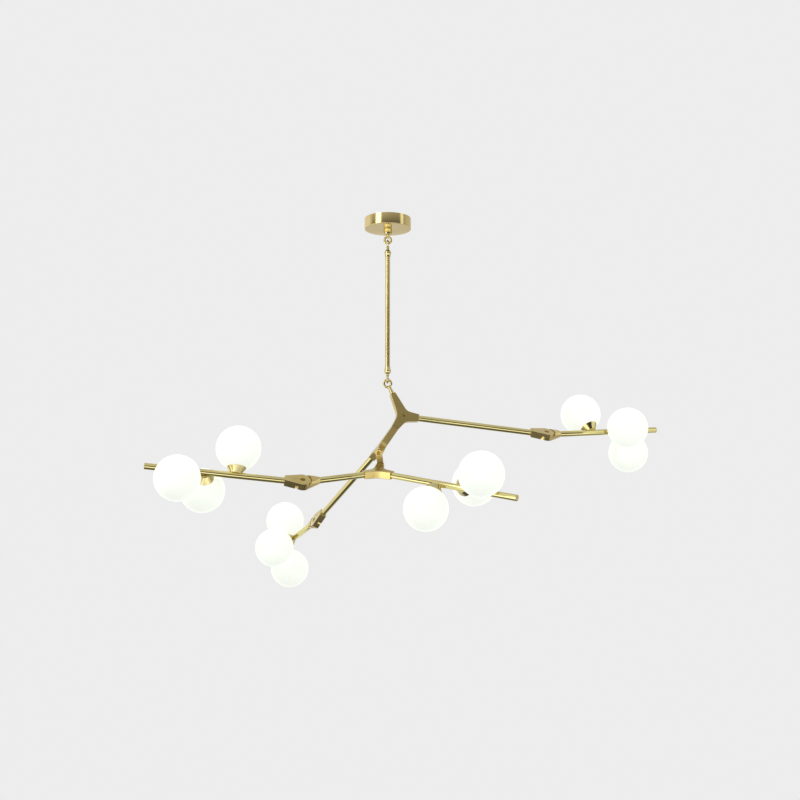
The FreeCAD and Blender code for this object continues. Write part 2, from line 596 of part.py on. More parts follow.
def lamp_units(branch):
    units = unit_frames(branch)
    cups, holders, bulbs = [], [], []
    for name, _, _, where in units:
        cup = turned("cup_body", [
            ("4", "Dims.CupBase"), ("Dims.CupFoot", "Dims.CupBase"), ("Dims.CupRim", "Dims.CupTop"),
            ("Dims.CupRim-Dims.CupWall", "Dims.CupTop"), ("Dims.CupFoot-1", "Dims.CupFloor"),
            ("4", "Dims.CupFloor")])
        saddle = cylinder("cup_saddle", "Dims.TubeRadius+Dims.FitGap", "4*Dims.CupFoot",
                          V(-2 * size("CupFoot"), 0, 0), EX)
        cup = cut("cup", cup, [saddle])
        cup.Placement = where
        cups.append(cup)

        holder = cylinder("holder", "Dims.HolderRadius", "Dims.HolderHeight")
        holder.Placement = where.multiply(FreeCAD.Placement(V(0, 0, size("CupFloor")), FreeCAD.Rotation()))
        holders.append(holder)

        foot = size("CupFloor") + size("HolderHeight")
        shaft = cylinder("bulb_shaft", "Dims.BulbRadius", "Dims.BulbLength-Dims.BulbRadius", V(0, 0, foot))
        tip = sphere("bulb_tip", "Dims.BulbRadius", V(0, 0, foot + size("BulbLength") - size("BulbRadius")))
        bulb = fuse("bulb", [shaft, tip])
        bulb.Placement = where
        bulbs.append(bulb)

        outer = sphere("globe_outer", "Dims.GlobeRadius", V(0, 0, size("GlobeOut")))
        inner = sphere("globe_inner", "Dims.GlobeRadius-Dims.GlobeWall", V(0, 0, size("GlobeOut")))
        mouth = cylinder("globe_mouth", "Dims.GlobeMouth", "Dims.GlobeRadius")
        piece("%s_%s_globe" % (branch, name), cut("globe", outer, [inner, mouth]), where)
    piece(branch + "_cups", group(branch + "_cup_group", cups))
    piece(branch + "_lampholders", group(branch + "_holder_group", holders))
    piece(branch + "_bulbs", group(branch + "_bulb_group", bulbs))
    return [(distance, out) for _, distance, out, _ in units]


def end_cap(node, placement, wall="Dims.TubeWall"):
    """Cap along local Z: a plug inside the tube and a thin round head."""
    plug = "Dims.TubeRadius-%s-Dims.FitGap" % wall
    return piece(node, turned(node + "_body", [
        ("0", "-Dims.CapPlug"), (plug, "-Dims.CapPlug"),
        (plug, "0"), ("Dims.TubeRadius", "0"),
        ("Dims.TubeRadius", "Dims.CapThick-0.8"), ("Dims.TubeRadius-0.8", "Dims.CapThick"),
        ("0", "Dims.CapThick")]), placement)


# -------------------------------------------------------------------- branches
def hinged_branch(name, inner_is_boxy):
    branch = BRANCHES[name]
    socket, reach = size("SocketDepth"), size("KnuckleLength")
    inner_start = branch["arm_end"] - branch["inner_dir"] * socket
    alias = name.capitalize() + "Inner"
    tube(name + "_inner_tube", "Dims.%s-Dims.KnuckleLength+2*Dims.SocketDepth" % alias,
         along(inner_start, branch["inner_dir"]))
    knuckle_half(name + "_knuckle_inner",
                 frame(branch["pivot"], -branch["inner_dir"], branch["axis"]), inner_is_boxy)
    knuckle_half(name + "_knuckle_outer",
                 frame(branch["pivot"], branch["dir"], branch["axis"]), not inner_is_boxy)
    pivot_screw(name + "_knuckle_screw", frame(branch["pivot"], branch["inner_dir"], branch["axis"]))
    start = reach - socket
    holes = [(distance - start, out) for distance, out in lamp_units(name)]
    wall = "Dims.LeftOuterWall" if name == "left" else "Dims.TubeWall"
    tube(name + "_outer_tube", "Dims.OuterLength-Dims.KnuckleLength+Dims.SocketDepth",
         along(branch["pivot"] + branch["dir"] * start, branch["dir"]), holes, wall)
    end_cap(name + "_end_cap",
            along(branch["pivot"] + branch["dir"] * size("OuterLength"), branch["dir"]), wall)


def front_branch():
    branch = BRANCHES["front"]
    socket = size("SocketDepth")
    holes = [(distance + socket, out) for distance, out in lamp_units("front")]
    tube("front_tube", "Dims.FrontLength+Dims.SocketDepth",
         along(branch["arm_end"] - branch["dir"] * socket, branch["dir"]), holes, "Dims.FrontWall")
    end_cap("front_end_cap", along(branch["arm_end"] + branch["dir"] * size("FrontLength"),
                                   branch["dir"]), "Dims.FrontWall")


# ------------------------------------------------------------------------ main
ceiling_group()
hanging_rod()
hubs()
hinged_branch("left", inner_is_boxy=False)
hinged_branch("right", inner_is_boxy=True)
hinged_branch("far", inner_is_boxy=True)
front_branch()
doc.recompute()

for obj in doc.Objects:
    state = list(obj.State)
    if "Invalid" in state or "Error" in state:
        raise RuntimeError("%s (%s) failed: %s" % (obj.Label, obj.Name, state))
for node, obj in NODES.items():
    if obj.Shape.isNull() or not obj.Shape.isValid() or obj.Shape.Volume <= 0:
        raise RuntimeError("%s has no valid shape" % node)

os.makedirs("parts", exist_ok=True)
for node, obj in NODES.items():
    obj.Shape.exportStep("parts/%s.step" % node)
print("%d sub-parts written" % len(NODES))
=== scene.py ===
"""Branch chandelier in brass and opal glass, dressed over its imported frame.

Every piece is worked out in the frame's own metres from the tubes, globes and
joints that the frame holds. Sizes inside the classes are in millimetres.
"""

from __future__ import annotations

import logging
import math
from dataclasses import dataclass, field
from enum import Enum
from typing import Any, ClassVar, Iterable, Sequence

import bmesh
import bpy
import numpy as np
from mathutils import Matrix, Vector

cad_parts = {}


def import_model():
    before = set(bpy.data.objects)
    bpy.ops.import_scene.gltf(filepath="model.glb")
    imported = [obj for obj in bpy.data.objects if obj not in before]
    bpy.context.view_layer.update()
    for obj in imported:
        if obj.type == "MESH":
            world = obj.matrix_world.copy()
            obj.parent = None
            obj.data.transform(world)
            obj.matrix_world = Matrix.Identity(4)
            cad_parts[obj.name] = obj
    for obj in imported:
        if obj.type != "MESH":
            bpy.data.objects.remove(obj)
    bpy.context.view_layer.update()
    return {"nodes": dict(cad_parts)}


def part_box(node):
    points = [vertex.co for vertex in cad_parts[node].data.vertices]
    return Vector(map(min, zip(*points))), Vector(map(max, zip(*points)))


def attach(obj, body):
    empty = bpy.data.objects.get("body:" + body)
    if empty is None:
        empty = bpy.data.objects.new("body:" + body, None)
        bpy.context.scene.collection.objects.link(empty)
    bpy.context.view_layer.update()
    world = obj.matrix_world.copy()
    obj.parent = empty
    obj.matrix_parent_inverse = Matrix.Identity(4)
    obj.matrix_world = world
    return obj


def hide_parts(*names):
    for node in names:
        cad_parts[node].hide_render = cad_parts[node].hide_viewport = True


log = logging.getLogger("chandelier")
Array = np.ndarray
Thing = bpy.types.Object
Material = bpy.types.Material
Tree = bpy.types.NodeTree
Socket = bpy.types.NodeSocket
Value = Any  # a number, a colour or an output socket, for a shader node's input
Pair = tuple[float, float]
Tones = tuple[Pair, ...]  # pairs of a reflected ray's rise and a brightness

MM = 0.001
X_AXIS, Y_AXIS, Z_AXIS = np.eye(3)

# reading the frame's meshes
MESH_DECIMALS = 7  # decimals of a metre to which two vertices count as one
END_SLICE_MM = 0.3  # depth of the slice that holds the ring of vertices at a tube's end
SKIN_SLICE_MM = 1.2  # depth of the slice that holds a globe's outer skin

# building meshes
SAME_POINT_M = 1e-7  # points of a new surface nearer than this are joined
NO_LENGTH_M = 1e-8  # edges shorter than this are removed
SAME_CAD_POINT_M = 2e-6  # points of a CAD mesh nearer than this are joined
FLAT_DEG = 0.6  # CAD faces that lean by less than this are one flat
CREASE_DEG = 38.0  # edges of a turned piece sharper than this stay crisp
CAD_CREASE_DEG = 32.0  # edges of a machined piece sharper than this are rounded
BEVEL_STEPS = 2
WIRE_STEPS = 28  # points round a ring's wire

# which bodies the pieces ride on, and the record's material slots
CEILING, EYE, ROD, FRAME = "ceiling_group", "swivel_eye", "hanging_rod", "branch_frame"
POLISHED, SATIN = "polished_brass", "satin_brass"

# the globes of each branch, and the wall in millimetres of the tube that carries them; the two
# thick walls keep the hanging lamp level
GLOBES = {"left": ("upper", "front", "lower"), "right": ("rear", "front", "lower"),
          "far": ("upper", "middle", "lower"), "front": ("lower", "upper", "rear")}
WALLS = {"left": 5.8, "right": 1.5, "far": 1.5, "front": 4.3}


# -------- small maths
def unit(vector: Array) -> Array:
    """Return the vector at length one."""
    return np.asarray(vector, float) / np.linalg.norm(vector)


def square_to(vector: Array, axis: Array) -> Array:
    """Return the part of vector that is perpendicular to axis, at length one."""
    vector, axis = np.asarray(vector, float), unit(axis)
    return unit(vector - axis * float(vector @ axis))


@dataclass(frozen=True)
class Seat:
    """A place for a piece: an origin in metres and three axes.

    Args:
        origin: the local origin, in metres.
        x: local X.
        z: local Z, perpendicular to x.
    """

    UPRIGHT: ClassVar[float] = 0.9  # a direction that rises by more than this is nearly upright

    origin: Array
    x: Array
    z: Array

    @classmethod
    def along(cls, origin: Array, z: Array) -> "Seat":
        """Return a seat from its origin, in metres, and its Z, with X as near up as it can be."""
        z = unit(z)
        near = Z_AXIS if abs(z[2]) < cls.UPRIGHT else X_AXIS
        return cls(np.asarray(origin, float), square_to(near, z), z)

    def place(self, points: Array) -> Array:
        """Turn local millimetres into metres: origin + x * X + y * Y + z * Z."""
        y = np.cross(self.z, self.x)
        local = points[..., :1] * self.x + points[..., 1:2] * y + points[..., 2:] * self.z
        return self.origin + MM * local


# -------- reading the CAD frame
def vertices(node: Thing) -> Array:
    """Return a node's vertices as an (n, 3) array in metres."""
    flat = np.empty(len(node.data.vertices) * 3)
    node.data.vertices.foreach_get("co", flat)
    return np.unique(flat.reshape(-1, 3).round(MESH_DECIMALS), axis=0)


def tube_line(node: Thing) -> tuple[Array, Array, float]:
    """Find the axis of a straight round tube.

    The long direction comes from the spread of the vertices, and each end's centre is
    the middle of the ring of vertices found there.

    Returns:
        The first end's centre, the direction to the other end, the length, in metres.
    """
    points = vertices(node)
    _, _, rows = np.linalg.svd(points - points.mean(0), full_matrices=False)
    reach = points @ rows[0]
    first = points[reach < reach.min() + END_SLICE_MM * MM]
    last = points[reach > reach.max() - END_SLICE_MM * MM]
    start, end = first.mean(0), last.mean(0)
    return start, unit(end - start), float(np.linalg.norm(end - start))


def ball_centre(node: Thing, radius_mm: float) -> Array:
    """Fit a sphere of a known radius to a globe's outer skin by least squares.

    Every skin point p satisfies 2 p . c + (r^2 - c . c) = p . p, which is linear in
    the centre c and in the bracket.
    """
    points = vertices(node)
    rough = (points.min(0) + points.max(0)) / 2
    inside = (radius_mm - SKIN_SLICE_MM) * MM
    skin = points[np.linalg.norm(points - rough, axis=1) > inside]
    rows = np.column_stack([2 * skin, np.ones(len(skin))])
    return np.linalg.lstsq(rows, (skin**2).sum(1), rcond=None)[0][:3]


# -------- surface building
@dataclass(frozen=True)
class Patch:
    """A grid of points with its two rulers, used to draw patterns along the surface.

    Args:
        points: (rows, columns, 3) grid in metres.
        closed: whether the last row joins the first, as the last column always does.
        ruler_rows, ruler_columns: distances along them, with one more if joined.
    """

    points: Array
    closed: bool
    ruler_rows: Array
    ruler_columns: Array

    def cells(self) -> tuple[Array, Array]:
        """Return the quads as vertex numbers and their corners' ruler readings."""
        rows, columns = self.points.shape[:2]
        bands = rows if self.closed else rows - 1
        i, j = np.meshgrid(np.arange(bands), np.arange(columns), indexing="ij")
        i, j = i.ravel(), j.ravel()
        corner_i = np.column_stack([i, i + 1, i + 1, i])
        corner_j = np.column_stack([j, j, j + 1, j + 1])
        quads = (corner_i % rows) * columns + corner_j % columns
        rulers = np.stack([self.ruler_rows[corner_i], self.ruler_columns[corner_j]], axis=-1)
        return quads, rulers


def rounded(corners: Sequence[tuple[float, float, float]], closed: bool = False,
            steps: int = 5) -> Array:
    """Round a profile's corners, each given as (radius from axis, height, rounding).

    A quadratic curve between the two tangent points, close to an arc, replaces each
    corner. All is in millimetres.

    Args:
        corners: the profile's corner points with their rounding.
        closed: whether the last corner joins the first.
        steps: how many points each arc gets.
    """
    raw = np.array(corners, float)
    half_side = 0.49  # two roundings on one side leave a short straight between them
    out: list[Array] = []
    count = len(raw)
    for k in range(count):
        here, bend = raw[k, :2], raw[k, 2]
        if bend <= 0 or (not closed and k in (0, count - 1)):
            out.append(here[None])
            continue
        back, ahead = raw[k - 1, :2] - here, raw[(k + 1) % count, :2] - here
        cut = min(bend, half_side * np.linalg.norm(back), half_side * np.linalg.norm(ahead))
        start, end = here + unit(back) * cut, here + unit(ahead) * cut
        t = np.linspace(0, 1, steps)[:, None]
        out.append((1 - t) ** 2 * start + 2 * t * (1 - t) * here + t**2 * end)
    return np.concatenate(out)


def arc(centre: Pair, radius: float, start: float, end: float, steps: int) -> Array:
    """Return points of a circle's arc in a profile, in degrees, with 0 straight outward."""
    a = np.radians(np.linspace(start, end, steps))
    return np.column_stack([centre[0] + radius * np.cos(a), centre[1] + radius * np.sin(a)])


def lathed(profile: Array, seat: Seat, segments: int = 72, closed: bool = False) -> Patch:
    """Turn a (radius, height) profile about the seat's Z.

    Args:
        profile: (n, 2) array in millimetres.
        seat: where it goes.
        segments: how many steps round.
        closed: whether the profile is a loop, as of a ring or a tube wall.
    """
    angle = np.arange(segments) * (2 * math.pi / segments)
    radius, height = profile[:, 0], profile[:, 1]
    local = np.stack([radius[:, None] * np.cos(angle), radius[:, None] * np.sin(angle),
                      np.repeat(height[:, None], segments, 1)], axis=-1)
    loop = np.vstack([profile, profile[:1]]) if closed else profile
    sides = np.linalg.norm(np.diff(loop, axis=0), axis=1)
    along = np.concatenate([[0], np.cumsum(sides)]) * MM
    girth = np.arange(segments + 1) * (2 * math.pi / segments) * radius.max() * MM
    return Patch(seat.place(local), closed, along, girth)


def wire_ring(centre: Array, axis: Array, mean: float, wire: float) -> Patch:
    """Carry a round wire section (wire: its radius) along a circle of radius mean."""
    section = arc((mean, 0), wire, 0, 360 - 360 / WIRE_STEPS, WIRE_STEPS)
    return lathed(section, Seat.along(centre, axis), closed=True)


def piece(name: str, patches: Iterable[Patch], material: Material, body: str,
          stands_for: Sequence[str]) -> None:
    """Make one visible piece out of patches and hand it to its body.

    Args:
        name: the piece's name.
        patches: its surfaces.
        material: its finish.
        body: the body it rides on.
        stands_for: CAD nodes that it replaces.
    """
    quads, rulers, points, first = [], [], [], 0
    for patch in patches:
        cells, marks = patch.cells()
        quads.append(cells + first)
        rulers.append(marks)
        points.append(patch.points.reshape(-1, 3))
        first += len(points[-1])
    mesh = bpy.data.meshes.new(name)
    mesh.from_pydata(np.concatenate(points), [], np.concatenate(quads).tolist())
    skin = mesh.uv_layers.new(name="skin")
    skin.data.foreach_set("uv", np.concatenate(rulers).reshape(-1).astype(np.float32))
    work = bmesh.new()
    work.from_mesh(mesh)
    bmesh.ops.remove_doubles(work, verts=work.verts, dist=SAME_POINT_M)
    bmesh.ops.dissolve_degenerate(work, dist=NO_LENGTH_M, edges=work.edges)
    bmesh.ops.recalc_face_normals(work, faces=work.faces)
    work.to_mesh(mesh)
    work.free()
    finish_piece(name, mesh, material, body, stands_for, CREASE_DEG)


def link(name: str, data: bpy.types.ID) -> Thing:
    """Put a new object in the scene."""
    obj = bpy.data.objects.new(name, data)
    bpy.context.scene.collection.objects.link(obj)
    return obj


def finish_piece(name: str, mesh: bpy.types.Mesh, material: Material, body: str,
                 stands_for: Sequence[str], crease: float) -> Thing:
    """Shade a mesh, put it in the scene, hang it on its body and hide the CAD nodes that it stands
    for.

    Args:
        name, material, body, stands_for: as for piece.
        mesh: its finished mesh.
        crease: edges sharper than this many degrees stay crisp.

    Returns:
        The new object.
    """
    mesh.polygons.foreach_set("use_smooth", np.ones(len(mesh.polygons), bool))
    mesh.set_sharp_from_angle(angle=math.radians(crease))
    mesh.materials.clear()
    mesh.materials.append(material)
    obj = link(name, mesh)
    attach(obj, body)
    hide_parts(*stands_for)
    log.info("%s: %d faces on %s", name, len(mesh.polygons), body)
    return obj


def machined_copy(name: str, node: Thing, material: Material, body: str,
                  edge_mm: float) -> None:
    """Refine a machined CAD node: merged, its flats whole, its edges softly rounded.

    Args:
        name, material, body: as for piece.
        node: the CAD node that it stands for.
        edge_mm: width of the rounding along each edge.
    """
    mesh = node.data.copy()
    work = bmesh.new()
    work.from_mesh(mesh)
    bmesh.ops.remove_doubles(work, verts=work.verts, dist=SAME_CAD_POINT_M)
    bmesh.ops.dissolve_limit(work, angle_limit=math.radians(FLAT_DEG), verts=work.verts,
                             edges=work.edges)
    work.to_mesh(mesh)
    work.free()
    obj = finish_piece(name, mesh, material, body, [node.name], CAD_CREASE_DEG)
    bevel = obj.modifiers.new("edge rounding", "BEVEL")
    bevel.width = edge_mm * MM
    bevel.segments = BEVEL_STEPS
    bevel.limit_method = "ANGLE"
    bevel.angle_limit = math.radians(CAD_CREASE_DEG)
    bevel.harden_normals = True


# -------- materials
def srgb(code: str) -> tuple[float, ...]:
    """Turn an sRGB hex code into linear colour with full alpha, by the sRGB standard's curve."""
    levels = [int(code.lstrip("#")[k:k + 2], 16) / 255 for k in (0, 2, 4)]
    red, green, blue = (v / 12.92 if v <= 0.04045 else ((v + 0.055) / 1.055) ** 2.4
                        for v in levels)
    return (red, green, blue, 1.0)


def per_metre(size_mm: float) -> float:
    """Return how many features of that size fit in a metre, as a texture's scale."""
    return 1 / (size_mm * MM)


def feed(tree: Tree, node: bpy.types.Node, inputs: dict[Any, Value]) -> None:
    """Set a node's inputs: a socket is linked, and anything else becomes the value.

    Args:
        tree: the node tree.
        node: the node.
        inputs: socket name or number to its value.
    """
    for key, value in inputs.items():
        if isinstance(value, Socket):
            tree.links.new(value, node.inputs[key])
        else:
            node.inputs[key].default_value = value


def add(tree: Tree, kind: str, inputs: dict[Any, Value] | None = None,
        **settings: Any) -> bpy.types.Node:
    """Add a shader node.

    Args:
        tree: the node tree.
        kind: the node's type name, without its ShaderNode.
        inputs: socket name or number to its value.
        settings: the node's own properties.
    """
    node = tree.nodes.new("ShaderNode" + kind)
    for key, value in settings.items():
        setattr(node, key, value)
    feed(tree, node, inputs or {})
    return node


def noise(tree: Tree, where: Value, scale: float, detail: float, roughness: float = 0.5) -> Socket:
    """Return cloud noise from 0 to 1, read at a place: scale features to its unit."""
    return add(tree, "TexNoise", {"Vector": where, "Scale": scale, "Detail": detail,
                                  "Roughness": roughness}).outputs["Fac"]


def remap(tree: Tree, value: Value, source: Pair = (0.0, 1.0),
          target: Pair = (0.0, 1.0), **settings: Any) -> Socket:
    """Return a value stretched from the source range to the target range, and held in it."""
    return add(tree, "MapRange", {
        "Value": value, "From Min": source[0], "From Max": source[1],
        "To Min": target[0], "To Max": target[1]}, **settings).outputs[0]


def blend(tree: Tree, share: Value, first: Value, second: Value, how: str = "MIX") -> Socket:
    """Return two colours blended, with share as the second one's weight."""
    colour_a, colour_b, colour_out = 6, 7, 2  # the mix node has a set of sockets for each type
    return add(tree, "Mix", {0: share, colour_a: first, colour_b: second},
               data_type="RGBA", blend_type=how).outputs[colour_out]


def sums(tree: Tree, operation: str, *values: Value) -> Socket:
    """Return the outcome of a sum on numbers or sockets."""
    return add(tree, "Math", dict(enumerate(values)), operation=operation).outputs[0]


def bump(tree: Tree, height: Value, depth_mm: float, strength: float) -> Socket:
    """Return the normal bent by a height, where 1 stands for depth_mm."""
    return add(tree, "Bump", {"Height": height, "Distance": depth_mm * MM,
                              "Strength": strength}).outputs[0]


def light(tree: Tree, colour: Value, strength: float) -> Socket:
    """Return a background shader of one colour and strength."""
    return add(tree, "Background", {"Color": colour, "Strength": strength}).outputs[0]


def choose(tree: Tree, share: Value, first: Value, second: Value) -> Socket:
    """Return the first shader where share is 0 and the second where it is 1."""
    return add(tree, "MixShader", {0: share, 1: first, 2: second}).outputs[0]


def new_material(name: str) -> tuple[Material, Tree, bpy.types.Node, Socket]:
    """Return a new node material, its tree, its principled shader and the object's own place."""
    material = bpy.data.materials.new(name)
    material.use_nodes = True
    tree = material.node_tree
    tree.nodes.clear()
    shader = add(tree, "BsdfPrincipled")
    add(tree, "OutputMaterial", {"Surface": shader.outputs[0]})
    return material, tree, shader, add(tree, "TexCoord").outputs["Object"]


class Grain(Enum):
    """Which way the fine lines of a brushed metal run."""

    ALONG = "along a turned piece, on its own rulers"
    AROUND = "around a turned piece, on its own rulers"
    PLATE = "across a machined piece, on the frame's axes"


@dataclass(frozen=True)
class Brass:
    """Lacquered brass: a warm greenish yellow metal, polished or brushed.

    It dulls from colour to shade in clouds. Spread is how much the roughness wanders,
    lines how much darker a polishing line is than the metal beside it, and speck_share
    how deep the relief's specks are beside its lines. The ranges are the parts of the
    noise that run from a line's middle to its edge, and from clean to dulled.
    """

    name: str
    colour: str
    shade: str
    roughness: float
    grain: Grain
    line_mm: float
    line_length_mm: float
    cloud_mm: float
    spread: float = 0.03
    lines: float = 0.03
    relief_mm: float = 0.001
    speck_mm: float = 2.2
    speck_share: float = 0.2
    bump_strength: float = 0.35
    line_range: Pair = (0.3, 0.7)
    cloud_range: Pair = (0.35, 0.75)

    def build(self) -> Material:
        """Return the node material."""
        material, tree, shader, plain = new_material(self.name)
        fine, long = per_metre(self.line_mm), per_metre(self.line_length_mm)
        stretch = (fine, long, fine) if self.grain is Grain.AROUND else (long, fine, fine)
        ruled = plain
        if self.grain is not Grain.PLATE:
            ruled = add(tree, "UVMap", uv_map="skin").outputs[0]
        drawn = add(tree, "Mapping", {"Vector": ruled, "Scale": stretch}).outputs[0]
        lines = noise(tree, drawn, 1.0, detail=4.0, roughness=0.6)
        clouds = noise(tree, plain, per_metre(self.cloud_mm), detail=3.0, roughness=0.55)
        specks = noise(tree, plain, per_metre(self.speck_mm), detail=2.0)
        dulled = remap(tree, clouds, self.cloud_range)
        tone = blend(tree, dulled, srgb(self.colour), srgb(self.shade))
        streak = remap(tree, lines, self.line_range, (1 - self.lines, 1.0))
        half = self.spread * 0.5
        rough = sums(tree, "MULTIPLY_ADD", lines, self.spread, self.roughness - half)
        height = sums(tree, "MULTIPLY_ADD", specks, self.speck_share, lines)
        feed(tree, shader, {
            "Base Color": blend(tree, 1.0, tone, streak, "MULTIPLY"),
            "Roughness": sums(tree, "MULTIPLY_ADD", dulled, half, rough),
            "Normal": bump(tree, height, self.relief_mm, self.bump_strength),
            "Metallic": 1.0})
        return material


@dataclass(frozen=True)
class OpalGlass:
    """Blown opal glass: milky all through, a soft skin, a faint warm-green cast.

    The milk runs in clouds from colour to thick, and light and glow are the lit bulb
    seen through it. Waves are the slow ripples that blowing leaves in the skin.
    """

    name: str = "blown opal glass"
    colour: str = "#CBCEC6"
    thick: str = "#C4C8BD"
    light: str = "#FBFFF7"
    glow: float = 0.62
    roughness: float = 0.3
    wander: Pair = (0.03, 0.05)
    milk_mm: float = 70.0
    wave_mm: float = 45.0
    wave_depth_mm: float = 0.12
    wave_strength: float = 0.5
    ior: float = 1.5
    specular: float = 0.3

    def build(self) -> Material:
        """Return the node material: cloudy colour, wavy skin, a little light from within."""
        material, tree, shader, plain = new_material(self.name)
        milk = noise(tree, plain, per_metre(self.milk_mm), detail=2.0)
        wave = noise(tree, plain, per_metre(self.wave_mm), detail=1.0)
        less, more = self.wander
        feed(tree, shader, {
            "Base Color": blend(tree, milk, srgb(self.colour), srgb(self.thick)),
            "Roughness": remap(tree, milk, target=(self.roughness - less, self.roughness + more)),
            "Normal": bump(tree, wave, self.wave_depth_mm, self.wave_strength),
            "Emission Color": srgb(self.light),
            "Emission Strength": self.glow,
            "IOR": self.ior,
            "Specular IOR Level": self.specular})
        return material


@dataclass(frozen=True)
class Plain:
    """A plain moulded, fired or plated finish, clouded in colour and finely gritty in skin."""

    name: str
    colour: str
    other: str
    roughness: float
    metallic: float = 0.0
    grit_mm: float = 0.6
    cloud_mm: float = 12.0
    wander: Pair = (0.06, 0.08)
    grit_depth_mm: float = 0.02
    grit_strength: float = 0.4

    def build(self) -> Material:
        """Return the node material."""
        material, tree, shader, plain = new_material(self.name)
        grit = noise(tree, plain, per_metre(self.grit_mm), detail=3.0)
        cloud = noise(tree, plain, per_metre(self.cloud_mm), detail=2.0)
        less, more = self.wander
        feed(tree, shader, {
            "Base Color": blend(tree, cloud, srgb(self.colour), srgb(self.other)),
            "Roughness": remap(tree, grit, target=(self.roughness - less, self.roughness + more)),
            "Normal": bump(tree, grit, self.grit_depth_mm, self.grit_strength),
            "Metallic": self.metallic})
        return material


class Finishes:
    """All the finishes of the lamp, built once."""

    def __init__(self) -> None:
        """Build every material."""
        # drawn tube, buffed along its length and lacquered: long faint lines, sharp reflections
        self.tube = Brass("polished brass tube", "#DDD193", "#D4C788", 0.09, Grain.ALONG,
                          line_mm=0.7, line_length_mm=60, cloud_mm=120).build()
        # turned on a lathe, then buffed: faint rings round the piece
        self.turned = Brass("turned polished brass", "#D6CA96", "#C9BC86", 0.12, Grain.AROUND,
                            line_mm=0.6, line_length_mm=40, cloud_mm=30).build()
        # the long rod, brushed along its length to a soft sheen
        self.rod = Brass("brushed brass rod", "#D9C88E", "#CFBD82", 0.30, Grain.ALONG,
                         line_mm=0.7, line_length_mm=60, cloud_mm=90, lines=0.02).build()
        # spun sheet, brushed while it turns: rings that catch a clear streak of light
        self.canopy = Brass("brushed spun brass", "#E4CF92", "#DAC385", 0.15, Grain.AROUND,
                            line_mm=0.8, line_length_mm=50, cloud_mm=60, spread=0.04,
                            lines=0.05, relief_mm=0.002).build()
        # milled plate, satin brushed: soft, even reflections
        self.hub = Brass("satin milled brass", "#D2BD7C", "#C6B06F", 0.27, Grain.PLATE,
                         line_mm=0.9, line_length_mm=30, cloud_mm=35, spread=0.05,
                         lines=0.04, relief_mm=0.0015).build()
        # machined bar, satin brushed a little finer than the hubs
        self.knuckle = Brass("satin machined brass", "#DAC68A", "#CDB87A", 0.22, Grain.PLATE,
                             line_mm=0.8, line_length_mm=25, cloud_mm=25, spread=0.04,
                             lines=0.04, relief_mm=0.0015).build()
        # small screws, coloured darker as painted shade for the shaded seats round their domed
        # heads
        self.screw = Brass("small brass screw", "#B0913F", "#8F7330", 0.22, Grain.PLATE,
                           line_mm=0.5, line_length_mm=6, cloud_mm=8, spread=0.05,
                           lines=0.05).build()
        self.glass = OpalGlass().build()
        # etched capsule: a soft white skin
        self.bulb = Plain("frosted bulb glass", "#F6F3EA", "#ECE7DA", 0.4).build()
        # fired and glazed: a clear gloss
        self.ceramic = Plain("glazed white ceramic", "#F0EEE6", "#E4E0D5", 0.25).build()
        # moulded nylon: an even satin
        self.plastic = Plain("white nylon", "#ECEAE2", "#DDD9CE", 0.5).build()
        # electroplated sheet: a cool grey metal with a fine bloom
        self.steel = Plain("zinc plated steel", "#C4C7C9", "#A9ADB0", 0.35, metallic=1.0).build()


# -------- sub-assemblies
# A profile's corners read (radius from the axis, height along it, rounding of the corner), in
# millimetres. Roundings are those of a deburred edge unless a field names them.
@dataclass
class Group:
    """A sub-assembly: the frame's nodes by name, and the lamp's finishes."""

    nodes: dict[str, Thing]
    finishes: Finishes

    def machine(self, node: str, ending: str, finish: Material, body: str, slot: str,
                edge_mm: float) -> None:
        """Refine one machined node under its own name and an ending, as machined_copy does."""
        machined_copy(node + ending, self.nodes[node], finish, body, edge_mm)


@dataclass
class CeilingGroup(Group):
    """Canopy, collar and the hidden fixings above them.

    The collar's throat takes the nipple, its cavity the swivel eye's head, which turns
    there, and its bore the eye's stem.
    """

    radius: float = 68.0
    height: float = 32.0
    wall: float = 1.5
    edge: float = 2.0
    hole: float = 5.2
    collar_radius: float = 12.0
    collar_height: float = 16.0
    throat: float = 5.0
    cavity: float = 7.0
    cavity_top: float = -38.0
    lip: float = 4.0
    bore: float = 3.05
    plated_edge: float = 0.3
    moulded_edge: float = 0.8

    def build(self) -> None:
        """Make the canopy and collar, and dress the fixings."""
        top = Seat(np.zeros(3), X_AXIS, Z_AXIS)
        r, h, w = self.radius, self.height, self.wall
        shell = rounded([
            (r - w, 0, 0.3), (r, 0, 0.3), (r, -h, self.edge), (self.hole, -h, 0.2),
            (self.hole, -h + w, 0.2),
            (r - w, -h + w, self.edge)], closed=True, steps=8)
        piece("canopy_shell", [lathed(shell, top, segments=160, closed=True)], self.finishes.canopy,
              CEILING, ["canopy"])
        low = -h - self.collar_height
        floor, ceiling = low + self.lip, self.cavity_top
        collar = rounded([
            (self.throat, -h, 0.1), (self.collar_radius, -h, 0.4), (self.collar_radius, low, 1.2),
            (self.bore, low, 0.3), (self.bore, floor, 0.1), (self.cavity, floor, 0.3),
            (self.cavity, ceiling, 0.3), (self.throat, ceiling, 0.1)], closed=True)
        piece("collar_cup", [lathed(collar, top, closed=True)], self.finishes.turned,
              CEILING, ["collar"])
        for node in ("crossbar", "nipple", "nipple_nut"):
            self.machine(node, "_plated", self.finishes.steel, CEILING, "zinc_steel",
                         self.plated_edge)
        self.machine("terminal_block", "_moulded", self.finishes.plastic, CEILING,
                     "terminal_plastic", self.moulded_edge)


